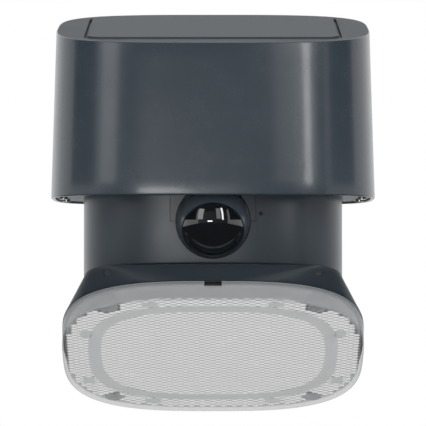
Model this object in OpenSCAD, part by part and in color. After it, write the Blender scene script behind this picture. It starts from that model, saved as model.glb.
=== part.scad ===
// Solar floodlight camera for a wall, with a turning camera ball and a tilting lamp head.
// Frame: origin at the middle of the bracket's bolt pattern on the wall plane y = 0,
// front towards -Y, up +Z, millimetres.

/* [Upper shell] */
// Width of the upper shell at its lower edge
shell_w = 225; // [200:1:270]
// Depth of the upper shell, back to front
shell_d = 188; // [170:1:220]
// Height of the shell's front face
shell_front_h = 103; // [92:1:130]
// Height of the shell's lower edge above the origin
shell_z = -66.3; // [-70:0.1:-62]
// Wall thickness of the shell
shell_wall = 2.6; // [2:0.1:4]
// How far the shell's sides lean in for each millimetre of height
shell_lean = 0.03; // [0.01:0.005:0.04]
// Roundness of the shell's outline, 2 is an ellipse
shell_power = 3.4; // [2.6:0.1:4]
// Gap between the shell's back and the wall
back_gap = 6; // [4:0.5:8]
// Slope of the roof, rising to the back
roof_slope = 11; // [6:0.1:14]
// Thickness of the roof
roof_t = 4.6; // [4:0.1:6]

/* [Solar panel] */
// Width of the solar panel
panel_w = 172; // [140:1:184]
// Length of the solar panel along the roof
panel_l = 138; // [110:1:140]
// Distance from the roof's front edge to the panel
panel_front = 24; // [20:1:32]
// Corner radius of the panel
panel_r = 10; // [6:1:14]
// Gap round the panel
panel_gap = 2.3; // [1:0.1:3]
// Depth of the panel's recess
panel_recess = 2.4; // [1.5:0.1:2.8]
// Height of the panel above the roof
panel_proud = 1.2; // [0.4:0.1:2]

/* [Wall bracket] */
// Width of the bracket plate
bracket_w = 122; // [110:1:126]
// Height of the bracket plate
bracket_h = 88; // [80:1:92]
// Thickness of the bracket plate
bracket_t = 2.5; // [2:0.1:2.8]
// Distance between bolt holes, sideways
bolt_dx = 80; // [60:1:90]
// Distance between bolt holes, up and down
bolt_dz = 50; // [40:1:60]
// Radius of the bolt holes
bolt_r = 2.5; // [2:0.1:3]
// Width of the rear cover that hangs on the bracket
rear_w = 130; // [128:1:136]
// Height of the rear cover
rear_h = 96; // [94:1:104]

/* [Neck] */
// Width of the neck
neck_w = 180; // [160:1:190]
// Depth of the neck
neck_d = 132; // [120:1:140]
// Height of the lower front edge of the neck
neck_front_z = -112.2; // [-116:0.1:-111]
// Slope of the neck's floor, falling to the back
neck_slope = 9.5; // [6:0.1:10]
// Roundness of the neck's outline, 2 is an ellipse
neck_power = 3.2; // [3:0.1:4]
// Wall thickness of the neck
neck_wall = 2.5; // [2:0.1:3.5]

/* [Camera ball] */
// Radius of the camera ball
ball_r = 25.2; // [21:0.1:26]
// Height of the ball's centre
ball_z = -83.3; // [-84:0.1:-82]
// Wall thickness of the ball
ball_wall = 2; // [1.6:0.1:2.4]
// Width of the ring between the black front window and the ball's full radius
window_rim = 4; // [3:0.1:6]
// How far the camera looks down at rest
ball_pitch = 29; // [20:1:40]
// Gap between the ball and its socket
ball_gap = 0.4; // [0.3:0.05:0.8]
// Half-width of the socket insert above the ball
retainer_half = 29.3; // [28:0.1:34]

/* [Lamp head] */
// Width of the lamp head
head_w = 210.3; // [190:0.1:220]
// Length of the lamp head, hinge edge to far edge
head_l = 187.5; // [170:0.5:196]
// Roundness of the head's outline, 2 is an ellipse
head_power = 3.05; // [2.6:0.05:4]
// Angle of the lamp's face below forward at rest
head_pitch = 65; // [60:1:70]
// Depth of the clear cover
cover_depth = 13.6; // [12.6:0.1:13.8]
// Wall thickness of the clear cover
cover_wall = 2.4; // [1.8:0.1:3]
// Depth of the dark housing behind the cover
housing_depth = 14; // [13.6:0.1:15]
// Wall thickness of the dark housing
housing_wall = 2.6; // [2:0.1:3]
// Distance of the hinge axis from the head's top edge
hinge_u = 10; // [9.5:0.1:11]
// Distance of the hinge axis behind the cover's face
hinge_v = 18.2; // [18:0.1:19]
// Radius of the hinge pins
hinge_pin_r = 1.6; // [1.2:0.1:1.8]

/* [Hidden] */
$fn = 64;
outline_steps = 96;
tiny = 0.01;
far = 400;

// Heights and depths that several pieces share
shell_y = -back_gap - shell_d / 2;
shell_top_h = shell_front_h + 40;
roof_cut = 20;
roof_y = shell_y - shell_d / 2 + shell_front_h * shell_lean;
roof_z = shell_z + shell_front_h;
cover_lip = 1.5;
cover_t = 2.5;
cover_z = shell_z + cover_lip;
cover_top = cover_z + cover_t;
cover_gap = 0.8;
cover_in = shell_wall + cover_gap;
neck_y = shell_y;
neck_front_y = neck_y - neck_d / 2;
neck_floor_t = 2.5;

// How far the neck's inner wall is from its middle, front to back, at a distance x from the centre
function neck_inner(x) =
  (neck_d / 2 - neck_wall) * pow(1 - pow(x / (neck_w / 2 - neck_wall), neck_power), 1 / neck_power);

rear_face = -3;
rear_depth = 11;
rear_pocket = 5;
rear_web = 2.5;
rear_seat = 2.3;
ledge = 15;

// Screws
screw_r = 1.5;
screw_fit = 0.05;
screw_head_r = 2.8;
screw_head_h = 2;
screw_free = 0.2;
seat_r = 3.2;
boss_r = 4;

// The lamp head's own frame: y runs down the face from the hinge edge, z runs into the depth
head_y = -185;
head_z = -136.6;
gasket_t = 0.5;
rim_v = cover_depth + gasket_t;
head_back = rim_v + housing_depth;
boss_x = 71;
boss_u = 19.7;

/* Shared shapes */

// An outline between an ellipse and a rectangle, with half-sizes a and b
module rounded_outline(a, b, power) {
  function bend(c) = sign(c) * pow(abs(c), 2 / power);
  polygon([for (i = [0 : outline_steps - 1])
    let (t = 360 * i / outline_steps) [a * bend(cos(t)), b * bend(sin(t))]]);
}

// A rectangle with round corners, centred
module round_rect(w, l, r) {
  for (sx = [-1, 1], sy = [-1, 1]) translate([sx * (w / 2 - r), sy * (l / 2 - r)]) circle(r);
  square([w - 2 * r, l], center = true);
  square([w, l - 2 * r], center = true);
}

// A flat ring between two heights
module ring(outer, inner, h) {
  difference() {
    cylinder(h = h, r = outer);
    translate([0, 0, -1]) cylinder(h = h + 2, r = inner);
  }
}

// A pan-head screw standing on z = 0, its shank going down
module screw(len, r = screw_r, head_r = screw_head_r) {
  cylinder(h = screw_head_h, r = head_r);
  translate([0, 0, -len]) cylinder(h = len + tiny, r = r);
}

module along_y() {
  rotate([90, 0, 0]) children();
}

module mirrored_x() {
  for (s = [-1, 1]) scale_sign(s) children();
}

module scale_sign(s) {
  if (s > 0) children();
  else mirror([1, 0, 0]) children();
}

// Places children in the roof's frame: x sideways, y up the slope, z out of the roof
module on_roof() {
  translate([0, roof_y, roof_z]) rotate([roof_slope, 0, 0]) children();
}

// Places children in the lamp head's frame
module in_head() {
  translate([0, head_y, head_z]) rotate([head_pitch - 90, 0, 0]) children();
}

// Places children in the ball's frame, with the lens looking along -y
module in_ball() {
  translate([0, neck_front_y, ball_z]) rotate([ball_pitch, 0, 0]) children();
}

/* Upper shell and roof */

module shell_solid(inset, drop) {
  lean = (shell_top_h * shell_lean) / (shell_w / 2);
  translate([0, shell_y, shell_z - drop])
    linear_extrude(height = shell_top_h, scale = 1 - lean)
      rounded_outline(shell_w / 2 - inset, shell_d / 2 - inset, shell_power);
}

module under_roof(depth) {
  on_roof() translate([-far / 2, -far / 2, -far - depth]) cube([far, 2 * far, far]);
}

module panel_block(grow, low, high) {
  on_roof() translate([0, panel_front + panel_l / 2, low])
    linear_extrude(high - low) round_rect(panel_w + 2 * grow, panel_l + 2 * grow, panel_r + grow);
}

// Where the lower cover is screwed to the shell
side_boss_x = shell_w / 2 - 9;
back_boss_y = -back_gap - 13;
cover_screws_at = [
  [-side_boss_x, shell_y - 22], [-side_boss_x, shell_y + 22],
  [side_boss_x, shell_y - 22], [side_boss_x, shell_y + 22],
  [-58, back_boss_y], [58, back_boss_y]];
cover_boss_h = 12;
cover_rib_t = 4;

module cover_bosses() {
  reach = 14;
  for (p = cover_screws_at)
    translate([p[0], p[1], cover_top])
      difference() {
        union() {
          cylinder(h = cover_boss_h, r = boss_r);
          if (abs(p[0]) < side_boss_x)
            translate([-cover_rib_t / 2, 0, 0]) cube([cover_rib_t, reach, cover_boss_h]);
          else
            translate([p[0] < 0 ? -reach : 0, -cover_rib_t / 2, 0]) cube([reach, cover_rib_t, cover_boss_h]);
        }
        translate([0, 0, -1]) cylinder(h = cover_boss_h - 1, r = screw_r + screw_fit);
      }
}

// A channel up the shell's back lets a screwdriver reach the lock screw
lock_y = -5.5;
lock_r = 2;
lock_head_r = 3.4;
lock_reach = 0.8;
channel_w = 16;
channel_d = 8;

// The frame round the rear cover, and the hole for the panel's wires
rear_frame = 6;
rear_fit = 0.3;
frame_d = 16;
wire_in = 20;
wire_r = 4;

module upper_shell() {
  color([0.26, 0.29, 0.32]) {
    difference() {
      intersection() {
        shell_solid(0, 0);
        under_roof(0);
      }
      difference() {
        intersection() {
          shell_solid(shell_wall, 1);
          under_roof(roof_t);
        }
        translate([-rear_w / 2 - rear_frame, -back_gap - frame_d, -rear_h / 2 - rear_frame])
          cube([rear_w + 2 * rear_frame, frame_d + 4, rear_h + 2 * rear_frame]);
        translate([-channel_w / 2, -back_gap - channel_d, -far]) cube([channel_w, channel_d + 10, far]);
      }
      translate([0, lock_y, -far]) cylinder(h = far - rear_h / 2, r = lock_head_r + lock_reach);
      panel_block(panel_gap, -panel_recess, roof_cut);
      on_roof() translate([0, panel_front + panel_l - wire_in, -roof_cut])
        cylinder(h = roof_cut, r = wire_r);
      translate([-rear_w / 2 - rear_fit, rear_face - rear_depth, -rear_h / 2 - rear_fit])
        cube([rear_w + 2 * rear_fit, 2 * rear_depth, rear_h + 2 * rear_fit]);
      translate([-rear_w / 2 + ledge, -back_gap - 2 * ledge, -rear_h / 2 + ledge])
        cube([rear_w - 2 * ledge, 3 * ledge, rear_h - 2 * ledge]);
      for (sx = [-1, 1], sz = [-1, 1]) rear_hole(sx, sz, screw_r + screw_fit, 14);
    }
    intersection() {
      shell_solid(1, 0);
      cover_bosses();
    }
  }
}

rear_screw_x = rear_w / 2 - 9;
rear_screw_z = rear_h / 2 - 9;

module rear_hole(sx, sz, r, len) {
  translate([sx * rear_screw_x, rear_face - rear_depth + 12, sz * rear_screw_z])
    along_y() cylinder(h = len, r = r);
}

/* Solar panel */

tray_low = -panel_recess + 0.5;
tray_floor = 0;
tray_rim = 2;

module panel_seal() {
  color([0.08, 0.08, 0.08]) difference() {
    panel_block(0, -panel_recess, tray_low);
    panel_block(-8, -panel_recess - 1, tray_low + 1);
  }
}

module panel_tray() {
  color([0.3, 0.33, 0.36]) difference() {
    panel_block(0, tray_low, panel_proud);
    panel_block(-tray_rim, tray_floor, panel_proud + 1);
  }
}

module solar_cells() {
  rows = 6;
  cell_gap = 1;
  cell_t = 0.3;
  edge = 3;
  inner_l = panel_l - 2 * (tray_rim + edge);
  cell_l = inner_l / rows - cell_gap;
  first_u = panel_front + tray_rim + edge + cell_l / 2;
  color([0.04, 0.05, 0.1]) on_roof()
    for (i = [0 : rows - 1], s = [-1, 1])
      translate([s * (panel_w / 4 - 1.2), first_u + i * inner_l / rows, cell_t / 2])
        cube([panel_w / 2 - 2 * edge, cell_l, cell_t], center = true);
}

module panel_glass() {
  color([0.4, 0.43, 0.46]) panel_block(-tray_rim, 0.35, panel_proud);
}

/* Bottom cover */

neck_screw_x = neck_w / 2 - 30;
neck_screw_y = neck_d / 2 - 16;
neck_screws_at = [for (sy = [-1, 1], sx = [-1, 1]) [sx * neck_screw_x, neck_y + sy * neck_screw_y]];
pocket_r = ball_r + 1.2;
pocket_wall = 2;
bearing_r = 6;
bearing_top = ball_z + ball_r + 8.5;
bearing_low = ball_z + pocket_r + 0.4;
motor_dx = 24.05;
motor_posts = [[motor_dx + 20, 0], [motor_dx + 3, 23], [motor_dx + 10, -17]];
gear_z = bearing_top + 1.2;
gear_h = 4;
bracket_z = gear_z + gear_h + 0.8;
board_z = -20;
board_posts = [[-66, -138], [66, -138], [-66, -40], [66, -40]];

module bottom_cover() {
  color([0.5, 0.53, 0.56]) difference() {
    union() {
      translate([0, shell_y, cover_z]) linear_extrude(cover_t)
        rounded_outline(shell_w / 2 - cover_in, shell_d / 2 - cover_in, shell_power);
      intersection() {
        translate([0, neck_front_y, ball_z]) sphere(pocket_r + pocket_wall);
        translate([-50, neck_front_y - 50, cover_z]) cube(100);
      }
      translate([0, neck_front_y, bearing_low - 1])
        cylinder(h = bearing_top - bearing_low + 1, r = bearing_r + 3);
      for (p = motor_posts) translate([p[0], neck_front_y + p[1], cover_z])
        cylinder(h = bracket_z - cover_z, r = 2.6);
      for (p = board_posts) translate([p[0], p[1], cover_z]) cylinder(h = board_z - cover_z, r = 3);
    }
    translate([0, neck_front_y, ball_z]) sphere(pocket_r);
    translate([0, neck_front_y, ball_z + 10]) cylinder(h = 60, r = bearing_r);
    translate([-18, neck_y + 36, cover_z - 1]) cube([36, 16, cover_t + 2]);
    for (p = cover_screws_at) translate([p[0], p[1], cover_z - 1]) cylinder(h = 5, r = screw_r + screw_free);
    for (p = neck_screws_at) translate([p[0], p[1], cover_z - 1]) cylinder(h = 5, r = screw_r + screw_free);
    translate([-channel_w / 2 - cover_gap, -back_gap - channel_d - cover_gap, cover_z - 1])
      cube([channel_w + 2 * cover_gap, 20, cover_t + 2]);
    mirrored_x() translate([tab_x - tab_fit, neck_front_y, cover_z - 1])
      cube([tab_w + 2 * tab_fit, neck_wall + tab_fit, cover_t + 2]);
  }
}

module bottom_cover_screws() {
  color("silver") for (p = cover_screws_at)
    translate([p[0], p[1], cover_z]) rotate([180, 0, 0]) screw(cover_t + 7);
}

module neck_screws() {
  color("silver") for (p = neck_screws_at) translate([p[0], p[1], cover_top]) screw(cover_t + 12);
}

/* Inside the shell */

cell_r = 9.2;
cell_len = 65.2;
battery_y = -88;
battery_z = cover_top + 2;

module battery_cells() {
  color([0.2, 0.45, 0.7]) for (sx = [-1, 1], row = [-1, 1])
    translate([sx * (cell_len / 2 + 0.6), battery_y + row * (cell_r + 0.4), battery_z + cell_r])
      rotate([0, 90, 0]) cylinder(h = cell_len, r = cell_r, center = true);
}

module battery_holder() {
  w = 2 * cell_len + 8;
  l = 4 * cell_r + 6;
  h = 14;
  wall = 2;
  color([0.12, 0.12, 0.12]) difference() {
    translate([-w / 2, battery_y - l / 2, cover_top]) cube([w, l, h]);
    translate([-w / 2 + wall, battery_y - l / 2 + wall, battery_z - tiny])
      cube([w - 2 * wall, l - 2 * wall, h]);
  }
}

// The main board, with a notch in front for the pan drive
board_t = 1.6;
board_w = 144;
board_l = 110;
board_y = -144;
notch_x = -30;
notch_w = 90;
notch_l = 23;

module main_board() {
  hole_r = 1.2;
  color([0.1, 0.35, 0.2]) difference() {
    translate([-board_w / 2, board_y, board_z]) cube([board_w, board_l, board_t]);
    for (p = board_posts) translate([p[0], p[1], board_z - 1]) cylinder(h = board_t + 2, r = hole_r);
    translate([notch_x, board_y - 1, board_z - 1]) cube([notch_w, notch_l + 1, board_t + 2]);
  }
}

module shield_cans() {
  can = [30, 24, 3];
  can_y = -105;
  color("silver") for (x = [-40, 6]) translate([x, can_y, board_z + board_t]) cube(can);
}

module wifi_antenna() {
  strip = [0.8, 40, 12];
  color([0.8, 0.65, 0.2]) translate([88, -128, cover_top]) cube(strip);
}

speaker_x = 30;
speaker_z = -92;
speaker_r = 15;
speaker_gap = 0.83;
speaker_face = neck_y + neck_inner(speaker_x + speaker_r) - speaker_gap;
speaker_rim = 6;
speaker_depth = 11;

module siren_speaker() {
  color([0.15, 0.15, 0.15]) translate([speaker_x, speaker_face, speaker_z]) {
    along_y() cylinder(h = speaker_rim, r = speaker_r);
    along_y() cylinder(h = speaker_depth, r = speaker_r - 4);
  }
}

/* Wall bracket and rear cover */

hook_x = 25;
hook_w = 12;
hook_z = 8;
hook_h = 12;
web_y = rear_face - rear_pocket;

module bolt_holes(r) {
  for (sx = [-1, 1], sz = [-1, 1]) translate([sx * bolt_dx / 2, 10, sz * bolt_dz / 2])
    along_y() cylinder(h = 20, r = r);
}

module wall_bracket() {
  color([0.6, 0.61, 0.62]) difference() {
    union() {
      translate([-bracket_w / 2, -bracket_t, -bracket_h / 2]) cube([bracket_w, bracket_t, bracket_h]);
      for (s = [-1, 1]) translate([s * hook_x - hook_w / 2, web_y - rear_web - 2.7, hook_z]) {
        cube([hook_w, rear_pocket + rear_web + 3.2, 4]);
        cube([hook_w, 2.5, hook_h]);
      }
      translate([-8, -8 + tiny, -rear_h / 2 + 6]) cube([16, 7, 5]);
    }
    bolt_holes(bolt_r);
    translate([0, lock_y, -rear_h / 2 + 4]) cylinder(h = 9, r = lock_r + screw_fit);
  }
}

module lock_screw() {
  color("silver") translate([0, lock_y, -rear_h / 2]) rotate([180, 0, 0]) screw(10.5, lock_r, lock_head_r);
}

module rear_cover() {
  rim = 4;
  post_w = 13;
  color([0.24, 0.27, 0.3]) difference() {
    translate([-rear_w / 2, rear_face - rear_depth, -rear_h / 2]) cube([rear_w, rear_depth, rear_h]);
    difference() {
      translate([-rear_w / 2 + rim, web_y, -rear_h / 2 + rim])
        cube([rear_w - 2 * rim, 20, rear_h - 2 * rim]);
      for (sx = [-1, 1], sz = [-1, 1])
        translate([sx * rear_screw_x, 0, sz * rear_screw_z]) cube([post_w, 60, post_w], center = true);
    }
    translate([-rear_w / 2 + ledge, rear_face - rear_depth - 1, -rear_h / 2 + ledge])
      cube([rear_w - 2 * ledge, rear_depth - rear_pocket - rear_web + 1, rear_h - 2 * ledge]);
    for (s = [-1, 1]) translate([s * hook_x - hook_w / 2 - 1, web_y - 10, hook_z - 12.5])
      cube([hook_w + 2, 20, 16.8]);
    for (sx = [-1, 1], sz = [-1, 1]) rear_hole(sx, sz, screw_r + screw_free, 30);
    for (sx = [-1, 1], sz = [-1, 1]) rear_hole(sx, sz, seat_r, rear_seat + 1);
    translate([0, lock_y, -rear_h / 2 - 1]) cylinder(h = 6, r = lock_r + screw_free);
  }
}

module rear_cover_screws() {
  color("silver") for (sx = [-1, 1], sz = [-1, 1])
    translate([sx * rear_screw_x, rear_face - rear_seat, sz * rear_screw_z])
      rotate([-90, 0, 0]) screw(10);
}

/* Neck */

module neck_solid(inset) {
  translate([0, neck_y, -far / 2]) linear_extrude(far)
    rounded_outline(neck_w / 2 - inset, neck_d / 2 - inset, neck_power);
}

// Everything above the neck's sloping floor, raised by lift
module above_floor(lift) {
  translate([0, neck_front_y, neck_front_z]) rotate([-neck_slope, 0, 0])
    translate([-far / 2, -far / 2, lift]) cube([far, 2 * far, far]);
}

module below_cover() {
  translate([-far / 2, -far, cover_z - far]) cube([far, 2 * far, far]);
}

module neck_case() {
  difference() {
    intersection() {
      neck_solid(0);
      above_floor(0);
      below_cover();
    }
    intersection() {
      neck_solid(neck_wall);
      above_floor(neck_floor_t);
    }
  }
}

module half_space(front) {
  translate([-far / 2, front ? neck_y - far : neck_y, -far]) cube([far, far, 2 * far]);
}

// A screw boss under the cover, with a rib that ties it to the neck's wall
module neck_boss(p) {
  boss_h = 18;
  rib_l = 12;
  rib_t = 4;
  difference() {
    intersection() {
      neck_solid(1);
      translate([p[0], p[1], cover_z - boss_h]) {
        cylinder(h = boss_h, r = boss_r);
        translate([-rib_t / 2, p[1] < neck_y ? -rib_l : 0, 0]) cube([rib_t, rib_l, boss_h]);
      }
    }
    translate([p[0], p[1], cover_z - boss_h - 1]) cylinder(h = boss_h + 2, r = screw_r + screw_fit);
  }
}

module ball_hole(r) {
  translate([0, neck_front_y + 20, ball_z]) along_y() cylinder(h = 40, r = r);
}

lug_x = neck_w / 2 - 46;
lug_w = 12;
lug_t = 4.4;
lug_lean = 40;
lug_fit = 0.6;

module neck_front_shell() {
  color([0.32, 0.35, 0.38]) {
    difference() {
      intersection() {
        neck_case();
        half_space(true);
      }
      ball_hole(ball_r + ball_gap);
      translate([-retainer_half, neck_front_y - 5, ball_z]) cube([2 * retainer_half, 22, far]);
      mirrored_x() translate([lug_x - lug_w / 2 - lug_fit, neck_front_y + 5, neck_front_z - 20])
        cube([lug_w + 2 * lug_fit, 11, 24]);
      translate([mic_x, neck_front_y + 10, mic_z]) along_y() cylinder(h = 20, r = 1.1);
    }
    for (i = [0, 1]) neck_boss(neck_screws_at[i]);
  }
}

flap_w = 30;
flap_h = 18;
flap_x = -35;
flap_z = -96;
flap_floor = -36.8;
flap_t = 1.8;
port_low = -92;
port_h = 10;

module neck_rear_shell() {
  rear_y = neck_y + neck_d / 2;
  color([0.3, 0.33, 0.36]) {
    difference() {
      union() {
        intersection() {
          neck_case();
          half_space(false);
        }
        translate([flap_x - 5, flap_floor - 3, flap_z - 4]) cube([flap_w + 10, 2.5, flap_h + 8]);
      }
      translate([flap_x - 0.6, flap_floor, flap_z - 0.4]) cube([flap_w + 1.2, 10, flap_h + 0.8]);
      translate([flap_x + 2, flap_floor - 10, port_low]) cube([flap_w - 3, 20, port_h]);
      for (ring_n = [0 : 2], i = [0 : max(0, 6 * ring_n - 1)])
        translate([speaker_x, rear_y + 5, speaker_z]) rotate([0, i * 60 / max(1, ring_n), 0])
          translate([ring_n * 4.5, 0, 0]) along_y() cylinder(h = 20, r = 1);
    }
    difference() {
      intersection() {
        translate([speaker_x, rear_y, speaker_z]) along_y() cylinder(h = 8, r = speaker_r + 2);
        neck_solid(1);
      }
      translate([speaker_x, rear_y + 5, speaker_z]) along_y() cylinder(h = 20, r = speaker_r + 0.1);
    }
    for (i = [2, 3]) neck_boss(neck_screws_at[i]);
    for (x = [flap_x - 3, flap_x + flap_w + 3])
      translate([x, flap_floor - 2.9, flap_z + flap_h / 2]) along_y()
        cylinder(h = port_depth - 0.1, r = 1.6);
  }
}

port_depth = 3;
port_face = flap_floor - 3 - port_depth;

module port_board() {
  color([0.1, 0.35, 0.2]) {
    translate([flap_x - 6, port_face - 1.2, flap_z - 2]) cube([flap_w + 12, 1.2, flap_h + 4]);
    translate([button_x, port_face + 2.4, button_z]) along_y() ring(3, button_r + 0.1, 2.4);
  }
}

// A metal port shell with its mouth towards the wall: its low corner and its size
module port_shell(x, z, w, h, wall, sheet) {
  depth = 5.6;
  color("silver") difference() {
    translate([x, port_face, z]) cube([w, depth, h]);
    translate([x + wall, port_face + 1, z + wall]) cube([w - 2 * wall, depth, h - sheet]);
  }
}

module usb_port() {
  port_shell(-32, -89, 9, 3.4, 0.5, 1);
}

module card_slot() {
  port_shell(-21.8, -88.6, 10, 2.4, 0.5, 1.2);
}

button_x = -8.4;
button_z = -87;
button_r = 1.7;

module reset_button() {
  color([0.1, 0.1, 0.1]) translate([button_x, port_face + 1, button_z])
    rotate([-90, 0, 0]) cylinder(h = 4.4, r = button_r);
}

module service_flap() {
  hinge_r = flap_t / 2;
  color([0.16, 0.17, 0.18]) {
    translate([flap_x + hinge_r, flap_floor + 0.2, flap_z]) cube([flap_w - hinge_r, flap_t, flap_h]);
    translate([flap_x + hinge_r, flap_floor + 0.2 + hinge_r, flap_z]) cylinder(h = flap_h, r = hinge_r);
  }
}

/* Ball socket */

mic_x = 32.8;
mic_z = -78;
mic_r = 2.8;
mic_h = 2.4;
mic_gap = 0.06;

tab_x = 21;
tab_w = 6;
tab_fit = 0.3;
tab_h = 4;

// Two corner inserts close the socket above the ball. A tab on each passes through the lower cover.
module ball_retainer() {
  seam = 0.15;
  w = 2 * (retainer_half - seam);
  color([0.32, 0.35, 0.38]) {
    difference() {
      intersection() {
        neck_case();
        translate([-w / 2, neck_front_y - 5, ball_z + seam]) cube([w, 12, far]);
      }
      ball_hole(ball_r + ball_gap);
    }
    mirrored_x() translate([tab_x, neck_front_y + 0.6, cover_z - 1])
      cube([tab_w, neck_wall - 0.8, tab_h + 1]);
  }
}

module ball_seal() {
  seal_fit = 0.15;
  seal_l = 2;
  color([0.05, 0.05, 0.05]) intersection() {
    translate([0, neck_front_y + neck_wall + seal_l, ball_z]) along_y()
      ring(retainer_half - 0.3, ball_r + ball_gap, seal_l + 1);
    neck_solid(neck_wall + seal_fit);
    above_floor(neck_floor_t + seal_fit);
    translate([0, 0, -seal_fit]) below_cover();
  }
}

module microphone() {
  color("silver") translate([mic_x, neck_y - neck_inner(mic_x + mic_r) + mic_gap + mic_h, mic_z])
    along_y() cylinder(h = mic_h, r = mic_r);
}

/* Pan drive */

shaft_r = 3;
yoke_in = ball_r - ball_wall - 4.5;
yoke_t = 3;
yoke_out = yoke_in + yoke_t;
pin_r = 1.5;

module pan_bearing() {
  color("goldenrod") translate([0, neck_front_y, bearing_low])
    ring(bearing_r, shaft_r + screw_fit, bearing_top - bearing_low + 0.6);
}

module pan_yoke() {
  color([0.2, 0.2, 0.22]) translate([0, neck_front_y, ball_z]) difference() {
    union() {
      rotate([90, 0, 0]) rotate_extrude(angle = 180)
        translate([yoke_in, -yoke_t]) square([yoke_t, 2 * yoke_t]);
      for (s = [-1, 1]) translate([s * (yoke_in + yoke_t / 2), 0, 0]) rotate([0, 90, 0])
        cylinder(h = yoke_t, r = 4, center = true);
      translate([0, 0, yoke_in + 1]) cylinder(h = gear_z + gear_h - ball_z - yoke_in - 1, r = shaft_r);
    }
    rotate([0, 90, 0]) cylinder(h = 100, r = pin_r + screw_fit, center = true);
    cylinder(h = 100, r = 1.2);
  }
}

// Half the width of an involute tooth, as an angle, at radius r
pressure = 25;
function unwind(base, r) = sqrt(pow(max(r, base) / base, 2) - 1) * 180 / PI - acos(base / max(r, base));
function tooth_half(teeth, r) = let (pitch = teeth / 2, base = pitch * cos(pressure))
  90 / teeth - 0.1 / pitch * 180 / PI / 2 + unwind(base, pitch) - unwind(base, r);

module gear_outline(teeth) {
  pitch = teeth / 2;
  radii = [pitch - 1.25, pitch - 0.5, pitch, pitch + 0.5, pitch + 0.95];
  last = len(radii) - 1;
  polygon([for (i = [0 : teeth - 1], side = [-1, 1], k = [0 : last])
    let (r = radii[side < 0 ? k : last - k], a = i * 360 / teeth + side * tooth_half(teeth, r))
      [r * cos(a), r * sin(a)]]);
}

gear_teeth = 36;
pinion_teeth = 12;

module pan_gear() {
  color("ivory") translate([0, neck_front_y, gear_z]) difference() {
    linear_extrude(gear_h) gear_outline(gear_teeth);
    translate([0, 0, -1]) cylinder(h = gear_h + 2, r = shaft_r);
  }
}

module pan_pinion() {
  color("ivory") translate([motor_dx, neck_front_y, gear_z]) {
    rotate([0, 0, 180 / pinion_teeth]) linear_extrude(gear_h) gear_outline(pinion_teeth);
    cylinder(h = gear_h + 6, r = 1.2);
  }
}

module pan_motor() {
  color("silver") translate([motor_dx, neck_front_y, bracket_z + 1.5]) difference() {
    cylinder(h = 15, r = 10);
    translate([0, 0, -1]) cylinder(h = 8, r = 1.2 + screw_fit);
  }
}

module motor_bracket() {
  color([0.7, 0.7, 0.72]) difference() {
    translate([0, neck_front_y, bracket_z]) linear_extrude(1.5) {
      translate([motor_dx, 0]) circle(12);
      for (p = motor_posts) hull() {
        translate([motor_dx, 0]) circle(6);
        translate([p[0], p[1]]) circle(3.2);
      }
    }
    translate([motor_dx, neck_front_y, bracket_z - 1]) cylinder(h = 4, r = 3);
  }
}

/* Camera ball */

window_r = ball_r - window_rim;
window_y = -sqrt(ball_r * ball_r - window_r * window_r);
core_r = ball_r - ball_wall;

module ball_skin() {
  difference() {
    sphere(ball_r);
    sphere(core_r);
  }
}

module ball_slab(low, high) {
  translate([-50, low, -50]) cube([100, high - low, 100]);
}

module pin_boss() {
  for (s = [-1, 1]) intersection() {
    rotate([0, s * 90, 0]) translate([0, 0, yoke_out + 0.25]) ring(3.4, pin_r, 3);
    sphere(core_r + tiny);
  }
}

slot_low = 10;
slot_high = 60;

// The slot that lets the pan shaft through while the ball tilts, seen from the side
module shaft_slot() {
  r = shaft_r + 0.6;
  side = r - 0.05;
  rotate([0, -90, 0]) rotate([0, 0, slot_low]) rotate_extrude(angle = slot_high - slot_low)
    translate([ball_r - 6, -side]) square([12, 2 * side]);
  for (a = [slot_low, slot_high]) rotate([-a, 0, 0]) translate([0, 0, ball_r - 6]) cylinder(h = 12, r = r);
}

module ball_front_shell() {
  color([0.2, 0.23, 0.25]) in_ball() {
    intersection() {
      ball_skin();
      ball_slab(window_y, 0);
    }
    intersection() {
      pin_boss();
      ball_slab(-20, 0);
    }
  }
}

module ball_rear_shell() {
  color([0.2, 0.23, 0.25]) in_ball() {
    difference() {
      intersection() {
        ball_skin();
        ball_slab(0, 50);
      }
      shaft_slot();
    }
    intersection() {
      pin_boss();
      ball_slab(0, 50);
    }
  }
}

module ball_window() {
  color([0.02, 0.02, 0.03]) in_ball() intersection() {
    ball_skin();
    ball_slab(-50, window_y - 0.15);
  }
}

// The lens stack, as distances ahead of the ball's centre
barrel_r = 7;
glass_r = 5.6;
dome_r = 9.1;
board_face = 8;
sensor_board_r = 15;
sensor_board_t = 1.5;
ir_back = core_r - 9;
ir_t = 1.2;
ir_edge = 1.35;
ir_r = sqrt(core_r * core_r - pow(ir_back + ir_t, 2)) - ir_edge;
glass_back = core_r - 6.2;
barrel_front = core_r - 2.7;
led_r = 2;
led_circle = ir_r - 2 * led_r;
motor_in = 8.5;
motor_out = yoke_in - 2.2;
pin_in = yoke_in - 1.2;

// Places children on the lens axis, at a distance ahead of the ball's centre, with z forward
module on_lens(ahead) {
  in_ball() translate([0, -ahead, 0]) along_y() children();
}

module lens_barrel() {
  flange_h = (ir_back - board_face) / 2 - 0.1;
  color([0.08, 0.08, 0.09]) on_lens(board_face) difference() {
    union() {
      cylinder(h = barrel_front - board_face, r = barrel_r);
      cylinder(h = flange_h, r = barrel_r + 2);
    }
    translate([0, 0, glass_back - board_face]) cylinder(h = 10, r = glass_r);
  }
}

module lens_glass() {
  color([0.15, 0.2, 0.35]) on_lens(glass_back) {
    cylinder(h = 2.5, r = glass_r);
    intersection() {
      translate([0, 0, -5]) sphere(dome_r);
      cylinder(h = 5, r = 5);
    }
  }
}

module sensor_board() {
  color([0.1, 0.35, 0.2]) on_lens(board_face - sensor_board_t)
    cylinder(h = sensor_board_t, r = sensor_board_r);
}

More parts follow.
